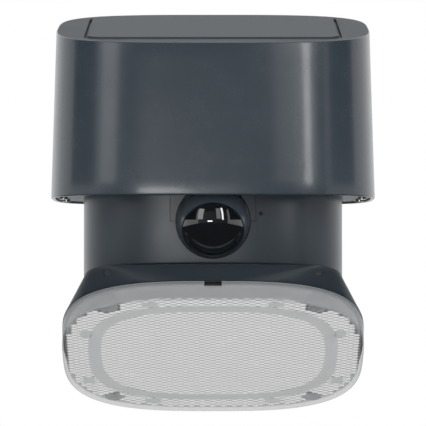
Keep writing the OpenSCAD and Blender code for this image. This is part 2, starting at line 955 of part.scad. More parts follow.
module ir_board() {
  color([0.1, 0.3, 0.2]) on_lens(ir_back) ring(ir_r, barrel_r, ir_t);
}

module ir_leds() {
  color([0.5, 0.1, 0.15]) on_lens(ir_back + ir_t) for (a = [45 : 90 : 315])
    rotate([0, 0, a]) translate([led_circle, 0, 0]) cylinder(h = 2, r = led_r);
}

module tilt_motor() {
  color("silver") in_ball() {
    translate([motor_in, 0, 0]) rotate([0, 90, 0]) cylinder(h = motor_out - motor_in, r = 5);
    intersection() {
      translate([motor_in + 1.5, 4, -2]) cube([2, 20, 3.5]);
      sphere(core_r - 0.1);
    }
  }
}

module tilt_pins() {
  reach = core_r - 0.2;
  color("silver") in_ball() {
    translate([motor_out, 0, 0]) rotate([0, 90, 0]) cylinder(h = reach - motor_out, r = pin_r);
    translate([-pin_in, 0, 0]) rotate([0, -90, 0]) cylinder(h = reach - pin_in, r = pin_r);
  }
}

/* Lamp head */

module head_slab(inset, low, high) {
  translate([0, head_l / 2, low]) linear_extrude(high - low)
    rounded_outline(head_w / 2 - inset, head_l / 2 - inset, head_power);
}

// The housing tapers from the rim's outline to a smaller round rectangle at its back
back_w = 177;
back_l = 174;
back_r = 22;
back_u = 1.2;
back_cut = 3;
waist_drop = 2.1;
leaf = 0.1;

module back_slab(inset, v) {
  translate([0, back_u + back_l / 2, v]) linear_extrude(leaf)
    round_rect(back_w - 2 * inset, back_l - 2 * inset, back_r - inset);
}

module head_shape(inset, low, high) {
  hull() {
    head_slab(inset, low, low + leaf);
    back_slab(inset, high - waist_drop);
  }
  hull() {
    back_slab(inset, high - waist_drop);
    back_slab(inset + back_cut, high - leaf);
  }
}

boss_spots = [for (s = [-1, 1], u = [boss_u, head_l - boss_u - 1]) [s * boss_x, u]];
cheek = 3.4;
eye_r = hinge_pin_r + 1.6;
eye_fit = 0.3;
pocket_u = hinge_u - eye_r - eye_fit;
pocket_l = 17;
pocket_floor = rim_v + 0.6;
plug_at = [72.3, 5.3, 22];
plug_tip = 125.9;
plug_turn = -64.4;
plug_h = 1.5;
plug_r = 2.2;
housing_boss_r = 4.6;
cover_boss_r = 6.2;

module hinge_pocket() {
  mirrored_x() translate([lug_x - lug_w / 2 - lug_fit, pocket_u, pocket_floor])
    cube([lug_w + 2 * lug_fit, pocket_l, far]);
}

module hinge_bore(r) {
  mirrored_x() translate([lug_x, hinge_u, hinge_v]) rotate([0, 90, 0])
    cylinder(h = lug_w + 4 * cheek, r = r, center = true);
}

module plug_spot(grow) {
  mirrored_x() translate(plug_at) rotate([0, plug_tip, plug_turn])
    translate([0, 0, -plug_h - 0.1]) cylinder(h = plug_h + grow * 10, r = plug_r + grow * 0.1);
}

module head_housing() {
  color([0.26, 0.29, 0.32]) in_head() difference() {
    union() {
      difference() {
        head_shape(0, rim_v, head_back);
        head_shape(housing_wall, rim_v - 1, head_back - housing_wall);
      }
      intersection() {
        head_shape(1, rim_v, head_back);
        union() {
          mirrored_x() translate([lug_x - lug_w / 2 - lug_fit - cheek, 0, rim_v])
            cube([lug_w + 2 * lug_fit + 2 * cheek, pocket_u + pocket_l + 2, far]);
          for (p = boss_spots) translate([p[0], p[1], rim_v]) cylinder(h = far, r = housing_boss_r);
        }
      }
    }
    hinge_pocket();
    hinge_bore(hinge_pin_r);
    plug_spot(1);
    for (p = boss_spots) translate([p[0], p[1], rim_v - 1]) {
      cylinder(h = 20, r = screw_r + screw_free);
      translate([0, 0, 5]) cylinder(h = 20, r = seat_r);
    }
  }
}

module housing_plugs() {
  color([0.05, 0.05, 0.05]) in_head() plug_spot(0);
}

module cover_screws() {
  color("silver") in_head() for (p = boss_spots) translate([p[0], p[1], rim_v + 4]) screw(13);
}

module clear_cover() {
  color([0.85, 0.87, 0.88, 0.4]) in_head() difference() {
    union() {
      difference() {
        head_slab(0, 0, cover_depth);
        head_slab(cover_wall, cover_wall, cover_depth + 1);
      }
      for (p = boss_spots) translate([p[0], p[1], 1]) cylinder(h = cover_depth - 1, r = cover_boss_r);
    }
    for (p = boss_spots) translate([p[0], p[1], 4]) cylinder(h = 20, r = screw_r + screw_fit);
  }
}

module cover_gasket() {
  color([0.06, 0.06, 0.06]) in_head() difference() {
    head_slab(0.8, cover_depth, rim_v);
    head_slab(cover_wall + 0.6, cover_depth - 1, rim_v + 1);
  }
}

ring_w = 174;
ring_l = 155;
ring_band = 9;
tab_long = 11;
tab_short = 8;
tab_spots = [[-43, -1], [43, -1], [-43, 1], [43, 1]];

module head_outline_at(w, l) {
  translate([0, head_l / 2]) rounded_outline(w / 2, l / 2, head_power);
}

module light_ring() {
  low = cover_wall + 0.5;
  color([0.75, 0.77, 0.78]) in_head() {
    translate([0, 0, low]) linear_extrude(reflector_v - low) difference() {
      head_outline_at(ring_w, ring_l);
      head_outline_at(ring_w - 2 * ring_band, ring_l - 2 * ring_band);
    }
    translate([0, head_l / 2, low]) linear_extrude(2) {
      for (p = tab_spots)
        translate([p[0], p[1] * (ring_l / 2 + 2)]) square([tab_long, tab_short], center = true);
      for (s = [-1, 1], y = [-33, 44])
        translate([s * (ring_w / 2 + 1), y]) square([tab_short, tab_long], center = true);
    }
  }
}

reflector_v = 11;
reflector_t = 1.2;
led_hole_r = 2.8;
led_board_in = 22;
sensor_w = 11.2;
sensor_t = 2;
sensor_h = 2.8;
sensor_u = cover_wall + 0.1;
led_step = 22;
led_spots = [for (i = [-3 : 3], j = [-2 : 2]) [i * led_step, head_l / 2 + j * led_step]];

module reflector() {
  color([0.9, 0.91, 0.92]) in_head() difference() {
    head_slab(cover_wall + 0.8, reflector_v, reflector_v + reflector_t);
    for (p = led_spots) translate([p[0], p[1], reflector_v - 1]) cylinder(h = 4, r = led_hole_r);
    for (p = boss_spots) translate([p[0], p[1], reflector_v - 1]) cylinder(h = 4, r = cover_boss_r + 0.6);
    translate([-sensor_w / 2 - 0.5, 0, reflector_v - 1]) cube([sensor_w + 1, sensor_u + sensor_t + 0.5, 4]);
  }
}

board_v = reflector_v + 2.4;
led_board_t = 1.4;

module led_board() {
  color([0.85, 0.86, 0.86]) in_head() translate([0, 0, board_v]) linear_extrude(led_board_t)
    head_outline_at(head_w - 2 * led_board_in, head_l - 2 * led_board_in - 6);
}

module led_chips() {
  color([0.95, 0.85, 0.4]) in_head() for (p = led_spots)
    translate([p[0], p[1], board_v - 0.4]) cube([3, 3, 0.8], center = true);
}

module heat_spreader() {
  fin = [2, 90];
  fin_step = 14;
  plate = 2;
  plate_v = board_v + led_board_t;
  color("silver") in_head() {
    translate([0, 0, plate_v]) linear_extrude(plate) head_outline_at(head_w - 50, head_l - 50);
    for (i = [-4 : 4]) translate([i * fin_step - fin[0] / 2, (head_l - fin[1]) / 2, plate_v + plate - tiny])
      cube([fin[0], fin[1], head_back - housing_wall - board_v - 4]);
  }
}

module light_sensor() {
  color([0.03, 0.03, 0.03]) in_head() translate([-sensor_w / 2, sensor_u, cover_depth - sensor_h - 0.4])
    cube([sensor_w, sensor_t, sensor_h]);
}

// The lugs reach forward and down from the neck's floor to the hinge axis
hinge_y = head_y + hinge_u * sin(head_pitch) + hinge_v * cos(head_pitch);
hinge_z = head_z - hinge_u * cos(head_pitch) + hinge_v * sin(head_pitch);
plate_lift = neck_floor_t;
plate_y = 6;
plate_l = 26;
plate_t = 2;
plate_w = 2 * (lug_x + 14);
plate_screws = [for (s = [-1, 1]) [s * (lug_x + 10), 20]];
lug_reach = 20.5;

module on_floor() {
  translate([0, neck_front_y, neck_front_z]) rotate([-neck_slope, 0, 0]) children();
}

module hinge_bracket() {
  color([0.6, 0.61, 0.62]) difference() {
    union() {
      on_floor() translate([-plate_w / 2, plate_y + 4, plate_lift]) cube([plate_w, plate_l - 4, plate_t]);
      mirrored_x() translate([lug_x - lug_w / 2, hinge_y, hinge_z]) rotate([lug_lean, 0, 0]) {
        translate([0, 0, -lug_t / 2]) cube([lug_w, lug_reach, lug_t]);
        rotate([0, 90, 0]) cylinder(h = lug_w, r = eye_r);
      }
    }
    translate([0, hinge_y, hinge_z]) rotate([0, 90, 0])
      cylinder(h = far, r = hinge_pin_r + screw_fit, center = true);
    for (p = plate_screws) on_floor() translate([p[0], p[1], 0]) cylinder(h = 10, r = screw_r + screw_free);
  }
}

module hinge_bracket_screws() {
  color("silver") on_floor() for (p = plate_screws)
    translate([p[0], p[1], plate_lift + plate_t]) screw(plate_t);
}

module hinge_pins() {
  color("silver") in_head() mirrored_x() translate([lug_x, hinge_u, hinge_v]) rotate([0, 90, 0])
    cylinder(h = lug_w + 2 * cheek + 1, r = hinge_pin_r, center = true);
}

module hinge_washers() {
  thick = lug_fit - 0.15;
  color("goldenrod") in_head() mirrored_x() for (s = [-1, 1])
    translate([lug_x + s * (lug_w / 2 + lug_fit - thick / 2), hinge_u, hinge_v]) rotate([0, 90, 0])
      translate([0, 0, -thick / 2]) ring(eye_r, hinge_pin_r, thick);
}

wall_bracket();
lock_screw();
rear_cover();
rear_cover_screws();
upper_shell();
panel_tray();
solar_cells();
panel_glass();
panel_seal();
bottom_cover();
bottom_cover_screws();
battery_cells();
battery_holder();
main_board();
shield_cans();
wifi_antenna();
siren_speaker();
neck_front_shell();
neck_rear_shell();
neck_screws();
ball_retainer();
ball_seal();
microphone();
pan_motor();
motor_bracket();
pan_bearing();
hinge_bracket();
hinge_bracket_screws();
port_board();
usb_port();
card_slot();
pan_yoke();
pan_gear();
pan_pinion();
ball_front_shell();
ball_rear_shell();
ball_window();
lens_barrel();
lens_glass();
sensor_board();
ir_board();
ir_leds();
tilt_motor();
tilt_pins();
head_housing();
clear_cover();
cover_gasket();
cover_screws();
light_ring();
reflector();
led_board();
led_chips();
heat_spreader();
hinge_pins();
hinge_washers();
housing_plugs();
light_sensor();
service_flap();
reset_button();
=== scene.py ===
# %% [markdown]
# # A solar floodlight camera
# This notebook dresses a finished CAD model. The frame holds every part at its real place, in metres, with
# the front towards -Y and the wall at y = 0. We keep the parts whose shape is right, replace the big
# moulded shells by smooth meshes, and give everything a material.

# %% Load the frame
from math import acos, atan2, cos, hypot, pi, radians, sin, sqrt, tan

import bmesh
import bpy
from mathutils import Matrix, Vector


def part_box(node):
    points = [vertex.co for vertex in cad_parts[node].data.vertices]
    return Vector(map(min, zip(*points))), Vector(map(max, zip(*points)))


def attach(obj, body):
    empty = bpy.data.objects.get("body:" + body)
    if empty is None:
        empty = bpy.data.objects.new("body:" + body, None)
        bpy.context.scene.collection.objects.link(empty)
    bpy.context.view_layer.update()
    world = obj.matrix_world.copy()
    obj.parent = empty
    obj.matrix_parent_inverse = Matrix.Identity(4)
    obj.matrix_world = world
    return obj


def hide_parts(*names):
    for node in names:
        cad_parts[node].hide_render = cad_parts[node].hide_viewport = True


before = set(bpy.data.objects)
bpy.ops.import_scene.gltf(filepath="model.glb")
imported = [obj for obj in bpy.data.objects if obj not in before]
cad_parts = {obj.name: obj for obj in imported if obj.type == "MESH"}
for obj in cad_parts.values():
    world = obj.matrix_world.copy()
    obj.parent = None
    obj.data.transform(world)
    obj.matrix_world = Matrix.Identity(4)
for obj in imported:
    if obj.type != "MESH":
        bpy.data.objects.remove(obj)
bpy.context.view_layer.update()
MM = 0.001

# %% [markdown]
# ## Numbers from the CAD
# A box of a node gives most places. Slopes and roundness are design values, so they are written here once.

# %% Sizes in millimetres
def box_mm(node):
    """The lowest and highest corners of a CAD node, in millimetres."""
    low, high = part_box(node)
    return [c / MM for c in low], [c / MM for c in high]


shell_low, shell_high = box_mm("upper_shell")
SHELL_W = shell_high[0] - shell_low[0]
SHELL_D = shell_high[1] - shell_low[1]
SHELL_Z = shell_low[2]
SHELL_Y = (shell_low[1] + shell_high[1]) / 2
SHELL_FRONT = 103
SHELL_WALL = 2.6
SHELL_POWER = 3.4
SHELL_LEAN = 0.03 / (SHELL_W / 2)
ROOF_ANGLE = radians(11)
ROOF_SLOPE = tan(ROOF_ANGLE)
ROOF_THICK = 4.6
ROOF_Y = SHELL_Y - SHELL_D / 2 + SHELL_FRONT * 0.03
ROOF_Z = SHELL_Z + SHELL_FRONT

tray_low, tray_high = box_mm("panel_tray")
PANEL_W = tray_high[0] - tray_low[0]
PANEL_L = 138
PANEL_FRONT = 24
PANEL_R = 10
PANEL_GAP = 2.3
PANEL_RECESS = 2.4

neck_low, neck_high = box_mm("neck_front_shell")
NECK_W = neck_high[0] - neck_low[0]
NECK_FRONT = neck_low[1]
NECK_Y = neck_high[1]
NECK_D = 2 * (NECK_Y - NECK_FRONT)
NECK_TOP = neck_high[2]
NECK_FRONT_Z = -112.2
NECK_SLOPE = tan(radians(9.5))
NECK_WALL = 2.5
NECK_POWER = 3.2

BALL = Vector((0, NECK_FRONT, -83.3))
BALL_R = 25.2
BALL_WALL = 2
WINDOW_R = BALL_R - 4
BALL_PITCH = radians(29)

HEAD_W = 210.3
HEAD_L = 187.5
HEAD_POWER = 3.05
HEAD_CORNER = Vector((0, -185, -136.6))
HEAD_TURN = radians(-25)
COVER_DEPTH = 13.6
COVER_WALL = 2.4
RIM_V = 14.1
HEAD_BACK = 28.1
HEAD_WALL = 2.6
BACK_W, BACK_L, BACK_R, BACK_U = 177, 174, 22, 1.2
BACK_CUT = 3
WAIST_DROP = 2.1
PLUG_AT = Vector((72.3, 5.3, 22))
PLUG_OUT = Vector((0.350, -0.730, -0.586))
BOSS_X = 71
BOSS_U = 19.7
BOSSES = [(sx * BOSS_X, u) for sx in (-1, 1) for u in (BOSS_U, HEAD_L - BOSS_U - 1)]
print("shell", round(SHELL_W, 1), "x", round(SHELL_D, 1), "neck", round(NECK_W, 1), "x", round(NECK_D, 1))

# %% [markdown]
# ## Shader maths as Python
# A socket wrapped in a small class lets `1 - mask * 0.5` build its Math nodes, so a material reads like a
# formula. Colours are mixed with a Mix node, because a Math node would turn them grey.

# %% The socket class
class Socket:
    """An output socket, or a number, in one node tree."""

    def __init__(self, tree, out):
        self.tree, self.out = tree, out

    def math(self, operation, *others):
        return node(self.tree, "ShaderNodeMath", {"operation": operation}, [self, *others])

    def __add__(self, other):
        return self.math("ADD", other)

    def __radd__(self, other):
        return self.math("ADD", other)

    def __sub__(self, other):
        return self.math("SUBTRACT", other)

    def __rsub__(self, other):
        return node(self.tree, "ShaderNodeMath", {"operation": "SUBTRACT"}, [other, self])

    def __mul__(self, other):
        return self.math("MULTIPLY", other)

    def __rmul__(self, other):
        return self.math("MULTIPLY", other)

    def __pow__(self, other):
        return self.math("POWER", other)

    def __lt__(self, other):
        return self.math("LESS_THAN", other)

    def clamp(self):
        return node(self.tree, "ShaderNodeClamp", {}, {"Value": self})

    def part(self, name):
        """Another output of the same node."""
        return Socket(self.tree, self.out.node.outputs[name])


def node(tree, kind, settings, inputs, output=0):
    """Adds one node. Settings come first, then the values or links of its sockets."""
    made = tree.nodes.new(kind)
    for name, value in settings.items():
        if name == "stops":
            for i, (place, colour) in enumerate(value):
                stop = made.color_ramp.elements[i] if i < 2 else made.color_ramp.elements.new(place)
                stop.position, stop.color = place, (*colour, 1)
        else:
            setattr(made, name, value)
    pairs = inputs.items() if isinstance(inputs, dict) else enumerate(inputs)
    for name, value in pairs:
        if isinstance(value, Socket):
            tree.links.new(value.out, made.inputs[name])
        else:
            made.inputs[name].default_value = value
    return Socket(tree, made.outputs[output]) if made.outputs else None


def mix(factor, first, second):
    """A colour between two colours."""
    tree = factor.tree
    colours = [c if isinstance(c, Socket) else (*c, 1) for c in (first, second)]
    return node(tree, "ShaderNodeMix", {"data_type": "RGBA"}, {0: factor, 6: colours[0], 7: colours[1]}, 2)


# %% [markdown]
# ## One recipe for every finish
# Most finishes are a Principled shader whose colour and roughness drift a little, over a fine bump. One
# function makes them all, and each finish is then a line of numbers.

# %% The finish function
def place(tree, scale=1.0):
    """Object coordinates in millimetres times scale."""
    where = node(tree, "ShaderNodeTexCoord", {}, {}, "Object")
    factor = scale / MM
    return node(tree, "ShaderNodeVectorMath", {"operation": "SCALE"}, {0: where, "Scale": factor})


def noise(tree, size, detail=3.0, rough=0.5):
    """Noise from 0 to 1 whose lumps are about size millimetres across."""
    return node(tree, "ShaderNodeTexNoise", {}, {"Vector": place(tree, 1 / size), "Scale": 1.0, "Detail": detail, "Roughness": rough})


def new_material(name):
    material = bpy.data.materials.new(name)
    material.use_nodes = True
    tree = material.node_tree
    tree.nodes.clear()
    return material, tree


def output(tree, shader):
    node(tree, "ShaderNodeOutputMaterial", {}, {"Surface": shader})


def finish(name, colour, rough=0.4, metal=0.0, drift=0.08, grain=0.3, bump=0.05, bump_size=0.8, dust=0.0, **fixed):
    """A Principled material with drifting colour and roughness over a fine bump."""
    material, tree = new_material(name)
    slow = noise(tree, 24, 2.0)
    fine = noise(tree, bump_size, 4.0, grain)
    darker = tuple(c * (1 - drift) for c in colour)
    lighter = tuple(min(1, c * (1 + drift)) for c in colour)
    tint = mix(slow, darker, lighter)
    if dust:
        tint = mix((noise(tree, 3.0, 5.0, 0.7) ** 4 * dust).clamp(), tint, (0.5, 0.5, 0.5))
    roughness = (rough + (slow - 0.5) * 0.12 + (fine - 0.5) * 0.06).clamp()
    normal = node(tree, "ShaderNodeBump", {}, {"Strength": bump, "Distance": 0.0002, "Height": fine})
    sockets = {"Base Color": tint, "Roughness": roughness, "Metallic": metal, "Normal": normal}
    sockets.update({key.replace("_", " "): value for key, value in fixed.items()})
    output(tree, node(tree, "ShaderNodeBsdfPrincipled", {}, sockets))
    return material


# %% [markdown]
# ## The finishes
# The shells are satin slate paint on plastic. The neck is a shade glossier. The ball's window is polished
# black with a clear coat. The panel's glass is matt etched, so at a low angle it only looks grey.

# %% Make the finishes
shell_paint = finish("shell_paint", (0.025, 0.036, 0.047), 0.26, bump=0.04, bump_size=0.5, Coat_Weight=0.25, Coat_Roughness=0.12)
roof_paint = finish("roof_paint", (0.046, 0.058, 0.070), 0.60, bump=0.06, bump_size=0.5, Specular_IOR_Level=0.3)
neck_paint = finish("neck_paint", (0.021, 0.031, 0.041), 0.32, bump=0.03, bump_size=0.5, Coat_Weight=0.2, Coat_Roughness=0.3)
head_paint = finish("head_paint", (0.018, 0.026, 0.033), 0.40, bump=0.04, bump_size=0.5, Specular_IOR_Level=0.3)
ball_paint = finish("ball_paint", (0.030, 0.040, 0.050), 0.25, bump=0.03, bump_size=0.4, Coat_Weight=0.3, Coat_Roughness=0.15)
cover_plastic = finish("cover_plastic", (0.16, 0.18, 0.20), 0.45, bump=0.12, bump_size=0.6)
back_plastic = finish("back_plastic", (0.035, 0.045, 0.054), 0.5, bump=0.2, bump_size=0.5)
black_gloss = finish("black_gloss", (0.004, 0.005, 0.006), 0.05, drift=0.0, bump=0.0, Coat_Weight=1.0, Coat_Roughness=0.02)
black_plastic = finish("black_plastic", (0.012, 0.013, 0.015), 0.45, bump=0.15, bump_size=0.5)
rubber = finish("rubber", (0.016, 0.017, 0.018), 0.75, bump=0.3, bump_size=0.4, dust=0.3)
galvanised = finish("galvanised", (0.52, 0.53, 0.55), 0.38, 1.0, drift=0.15, bump=0.1, bump_size=2.0)
screw_steel = finish("screw_steel", (0.58, 0.57, 0.55), 0.28, 1.0, drift=0.05, bump=0.05, bump_size=0.3)
bronze = finish("bronze", (0.62, 0.42, 0.20), 0.35, 1.0, bump=0.1, bump_size=0.4)
alloy = finish("alloy", (0.72, 0.73, 0.74), 0.4, 1.0, bump=0.1, bump_size=0.5)
gold = finish("gold_trace", (0.9, 0.65, 0.25), 0.25, 1.0)
circuit = finish("circuit_board", (0.012, 0.10, 0.05), 0.3, bump=0.3, bump_size=1.2)
battery_wrap = finish("battery_wrap", (0.03, 0.14, 0.38), 0.25, bump=0.02)
nylon = finish("nylon", (0.72, 0.70, 0.62), 0.5, bump=0.05, Subsurface_Weight=0.1)
white_plastic = finish("white_plastic", (0.80, 0.80, 0.80), 0.3, drift=0.01, bump=0.02)
ring_plastic = finish("ring_plastic", (0.50, 0.51, 0.52), 0.45, drift=0.03, bump=0.03)
solar_cell = finish("solar_cell", (0.006, 0.008, 0.020), 0.2, drift=0.3, bump=0.02)
phosphor = finish("led_phosphor", (0.85, 0.62, 0.12), 0.4, bump=0.1)
infrared = finish("infrared_led", (0.05, 0.006, 0.012), 0.12, bump=0.0)


# %% [markdown]
# ## See-through finishes
# Three pieces let light through: the panel's glass, the lens and the lamp's cover. A Principled shader
# mixed with a Transparent one keeps the gloss and stays quick to render.

# %% Make the see-through finishes
def see_through(name, colour, rough, body, **fixed):
    """Lets 1 - body of the light straight through, and keeps the gloss."""
    material, tree = new_material(name)
    fine = noise(tree, 0.8, 3.0)
    roughness = (rough + (fine - 0.5) * 0.05).clamp()
    sockets = {"Base Color": (*colour, 1), "Roughness": roughness, "Alpha": body}
    sockets.update({key.replace("_", " "): value for key, value in fixed.items()})
    output(tree, node(tree, "ShaderNodeBsdfPrincipled", {}, sockets))
    return material


panel_glass = see_through("panel_glass", (0.050, 0.064, 0.078), 0.55, 0.85, Specular_IOR_Level=0.35)
lens_coating = see_through("lens_glass", (0.02, 0.03, 0.10), 0.03, 0.8)
clear_wall = see_through("clear_wall", (0.36, 0.37, 0.38), 0.10, 0.50, Specular_IOR_Level=0.3)
clear_face = see_through("clear_face", (0.85, 0.86, 0.87), 0.06, 0.06)
boss_plastic = see_through("boss_plastic", (0.38, 0.39, 0.40), 0.2, 0.6)
# A pale finish that paints a highlight: the bright line along the edge of the lamp cover's rim.
painted_rim_highlight = finish("painted_rim_highlight", (0.62, 0.63, 0.64), 0.2, drift=0.01, bump=0.0)
# A dark grey finish that paints shade: the dark line in the groove under the cover's rim, and on the tops of the screw
# bosses.
painted_rim_shade = finish("painted_rim_shade", (0.16, 0.17, 0.18), 0.5, drift=0.02, bump=0.0)
prism_plastic = finish("prism_plastic", (0.84, 0.84, 0.84), 0.25, drift=0.01, bump=0.0)
# Two grey copies of the honeycomb's plastic paint shade on the cells' groove slopes: mid grey on the side slopes, dark
# grey on the upper and lower slopes, for the dark lines between the rows.
prism_painted_side_shade = finish("prism_painted_side_shade", (0.54, 0.54, 0.54), 0.3, drift=0.02, bump=0.0)
prism_painted_groove_shade = finish("prism_painted_groove_shade", (0.14, 0.14, 0.145), 0.35, drift=0.03, bump=0.0)
band_plastic = finish("band_plastic", (0.50, 0.505, 0.51), 0.35, drift=0.03, bump=0.05)

# %% [markdown]
# ## Outlines and lofts
# The shell, the neck and the lamp head share one family of outlines, between an ellipse and a rectangle. A
# loft joins a list of equal rings into a closed skin, which gives smooth curves with few lines of code.

# %% Mesh helpers
STEPS = 320


def outline(a, b, power, steps=STEPS):
    """Points of a rounded outline with half-sizes a and b, round the origin."""
    points = []
    for i in range(steps):
        c, s = cos(2 * pi * i / steps), sin(2 * pi * i / steps)
        points.append((a * abs(c) ** (2 / power) * (1 if c >= 0 else -1), b * abs(s) ** (2 / power) * (1 if s >= 0 else -1)))
    return points


def build(name, bm, materials, turn=None, sharp=32):
    """Turns a bmesh in millimetres into an object in metres, smooth but for its sharp edges."""
    if turn is not None:
        bm.transform(turn)
    bm.transform(Matrix.Scale(MM, 4))
    bmesh.ops.recalc_face_normals(bm, faces=bm.faces)
    mesh = bpy.data.meshes.new(name)
    bm.to_mesh(mesh)
    bm.free()
    for polygon in mesh.polygons:
        polygon.use_smooth = True
    mesh.set_sharp_from_angle(angle=radians(sharp))
    piece = bpy.data.objects.new(name, mesh)
    bpy.context.scene.collection.objects.link(piece)
    for material in materials:
        mesh.materials.append(material)
    return piece


def add_loft(bm, rings, closed=False, materials=None):
    """Joins equal rings. The first and last are capped, unless the loft closes on itself."""
    rows = [[bm.verts.new(p) for p in ring] for ring in rings]
    count = len(rows[0])
    pairs = list(zip(rows, rows[1:])) + ([(rows[-1], rows[0])] if closed else [])
    for k, (low, high) in enumerate(pairs):
        for i in range(count):
            j = (i + 1) % count
            face = bm.faces.new((low[i], low[j], high[j], high[i]))
            if materials:
                face.material_index = materials[k]
    if not closed:
        for row in (rows[0], rows[-1]):
            middle = bm.verts.new(sum((v.co for v in row), Vector()) / count)
            for i in range(count):
                bm.faces.new((row[i], row[(i + 1) % count], middle))
    return rows


def rounded(radius, start, stop, steps=5):
    """Offsets (inward, along) of a quarter round, between two angles in degrees."""
    made = []
    for i in range(steps + 1):
        a = radians(start + (stop - start) * i / steps)
        made.append((radius - radius * cos(a), radius - radius * sin(a)))
    return made


def cutter_box(low, high, turn=None):
    bm = bmesh.new()
    bmesh.ops.create_cube(bm, size=1)
    for v in bm.verts:
        v.co = Vector([low[k] + (v.co[k] + 0.5) * (high[k] - low[k]) for k in range(3)])
    return build("cutter", bm, [], turn)


def add_cylinder(bm, centre, axis, radius, length, steps=64):
    """A cylinder from centre along axis."""
    turn = Vector(axis).to_track_quat("Z", "Y").to_matrix().to_4x4()
    middle = Vector(centre) + Vector(axis).normalized() * length / 2
    bmesh.ops.create_cone(
        bm, cap_ends=True, segments=steps, radius1=radius, radius2=radius, depth=length,
        matrix=Matrix.Translation(middle) @ turn)


def cutter_cylinders(spots, turn=None):
    bm = bmesh.new()
    for centre, axis, radius, length in spots:
        add_cylinder(bm, centre, axis, radius, length)
    return build("cutter", bm, [], turn)


def carve(piece, cutter, operation="DIFFERENCE", sharp=32):
    """Applies one exact Boolean and removes the cutter."""
    step = piece.modifiers.new("carve", "BOOLEAN")
    step.object, step.operation, step.solver = cutter, operation, "EXACT"
    view = bpy.context.evaluated_depsgraph_get()
    mesh = bpy.data.meshes.new_from_object(piece.evaluated_get(view))
    piece.modifiers.clear()
    piece.data = mesh
    mesh.set_sharp_from_angle(angle=radians(sharp))
    bpy.data.objects.remove(cutter)


def dress(piece, body, slot, *nodes):
    """Puts a piece on its body, in place of its CAD nodes."""
    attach(piece, body)
    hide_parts(*nodes)
    print(piece.name, len(piece.data.polygons), "faces")
    return piece


# %% [markdown]
# ## The upper shell
# The real shell is one moulding: leaning walls, a sloped roof with a soft edge, and a recess for the solar
# panel. It is lofted from the lip inside, round the lower edge, up the wall and over the roof to the recess.

# %% Loft the upper shell
def roof_height(y):
    return ROOF_Z + (y - ROOF_Y) * ROOF_SLOPE


def shell_ring(inset, rise):
    """A level ring of the leaning wall, rise above the lower edge."""
    k = 1 - SHELL_LEAN * rise
    flat = outline(SHELL_W / 2 * k - inset, SHELL_D / 2 * k - inset, SHELL_POWER)
    return [(x, SHELL_Y + y, SHELL_Z + rise) for x, y in flat]


def wall_ring(inset, share, drop):
    """A ring at a share of the height from the lower edge to drop below the roof."""
    k = 1 - SHELL_LEAN * SHELL_FRONT * share
    points = []
    for x, y in outline(SHELL_W / 2 - inset, SHELL_D / 2 - inset, SHELL_POWER):
        y0 = SHELL_Y + y * k
        top = roof_height(y0) - drop
        k2 = 1 - SHELL_LEAN * (top - SHELL_Z) * share
        y1 = SHELL_Y + y * k2
        points.append((x * k2, y1, SHELL_Z + share * (roof_height(y1) - drop - SHELL_Z)))
    return points


def panel_edge(direction, grow):
    """Where a ray from the panel's middle meets the panel's round rectangle."""
    half_w, half_l, r = PANEL_W / 2 + grow, PANEL_L / 2 + grow, PANEL_R + grow
    low, high = 0.0, 2 * PANEL_W
    for _ in range(40):
        t = (low + high) / 2
        dx = max(abs(direction[0]) * t - (half_w - r), 0)
        dy = max(abs(direction[1]) * t - (half_l - r), 0)
        if hypot(dx, dy) < r and abs(direction[0]) * t < half_w and abs(direction[1]) * t < half_l:
            low = t
        else:
            high = t
    return low * direction[0], low * direction[1]


def recess_ring(outer, grow, depth):
    """The recess edge, point for point with the shell's outer ring."""
    slope = ROOF_ANGLE
    middle_up = PANEL_FRONT + PANEL_L / 2
    points = []
    for x, y, z in outer:
        up = (y - ROOF_Y) / cos(slope) - middle_up
        size = hypot(x, up)
        px, pu = panel_edge((x / size, up / size), grow)
        along = middle_up + pu
        points.append((px, ROOF_Y + along * cos(slope) + depth * sin(slope), ROOF_Z + along * sin(slope) - depth * cos(slope)))
    return points


def between(first, second, share):
    return [tuple(Vector(a).lerp(Vector(b), share)) for a, b in zip(first, second)]


def make_upper_shell():
    rings = [wall_ring(SHELL_WALL, 1, ROOF_THICK)]
    rings += [shell_ring(SHELL_WALL, rise) for rise in (60, 20, 4, 0.4)]
    rings += [shell_ring(2.2, 0), shell_ring(0.9, 0)]
    rings += [shell_ring(*step) for step in reversed(rounded(0.9, 0, 90))]
    edge_r = 0.7
    rings += [wall_ring(0, share, edge_r) for share in (0.1, 0.3, 0.5, 0.7, 0.9)]
    rings += [wall_ring(inward, 1, along) for inward, along in rounded(edge_r, 0, 90)]
    walls = len(rings) - 1
    edge = wall_ring(edge_r, 1, 0)
    rim = recess_ring(edge, PANEL_GAP + 0.3, 0)
    rings += [between(edge, rim, 0.5), rim]
    rings += [recess_ring(edge, PANEL_GAP, 0.3), recess_ring(edge, PANEL_GAP, PANEL_RECESS)]
    rings += [recess_ring(edge, -20, PANEL_RECESS)]
    bm = bmesh.new()
    add_loft(bm, rings, materials=[0] * walls + [1] * (len(rings) - walls))
    return build("roof_shell", bm, [shell_paint, roof_paint])


dress(make_upper_shell(), "housing", "shell_paint", "upper_shell")


# %% [markdown]
# ## The neck
# The neck is a tube of the same outline with a floor that falls to the back. A Boolean cuts the ball's
# socket, the seams of the insert above the ball, the microphone hole and, behind, the service recess.

# %% Build the neck's tube
def floor_height(y, lift=0.0):
    return NECK_FRONT_Z - (y - NECK_FRONT) * NECK_SLOPE + lift


def neck_ring(inset, lift=None, top=None):
    points = []
    for x, y in outline(NECK_W / 2 - inset, NECK_D / 2 - inset, NECK_POWER):
        y += NECK_Y
        points.append((x, y, top if lift is None else floor_height(y, lift)))
    return points


def neck_tube(name):
    soft = 1.2
    rings = [neck_ring(NECK_WALL, lift=2.5), neck_ring(NECK_WALL, top=NECK_TOP), neck_ring(0, top=NECK_TOP)]
    rings += [neck_ring(inward, lift=along) for inward, along in rounded(soft, 0, 90)]
    bm = bmesh.new()
    add_loft(bm, rings)
    return build(name, bm, [neck_paint])


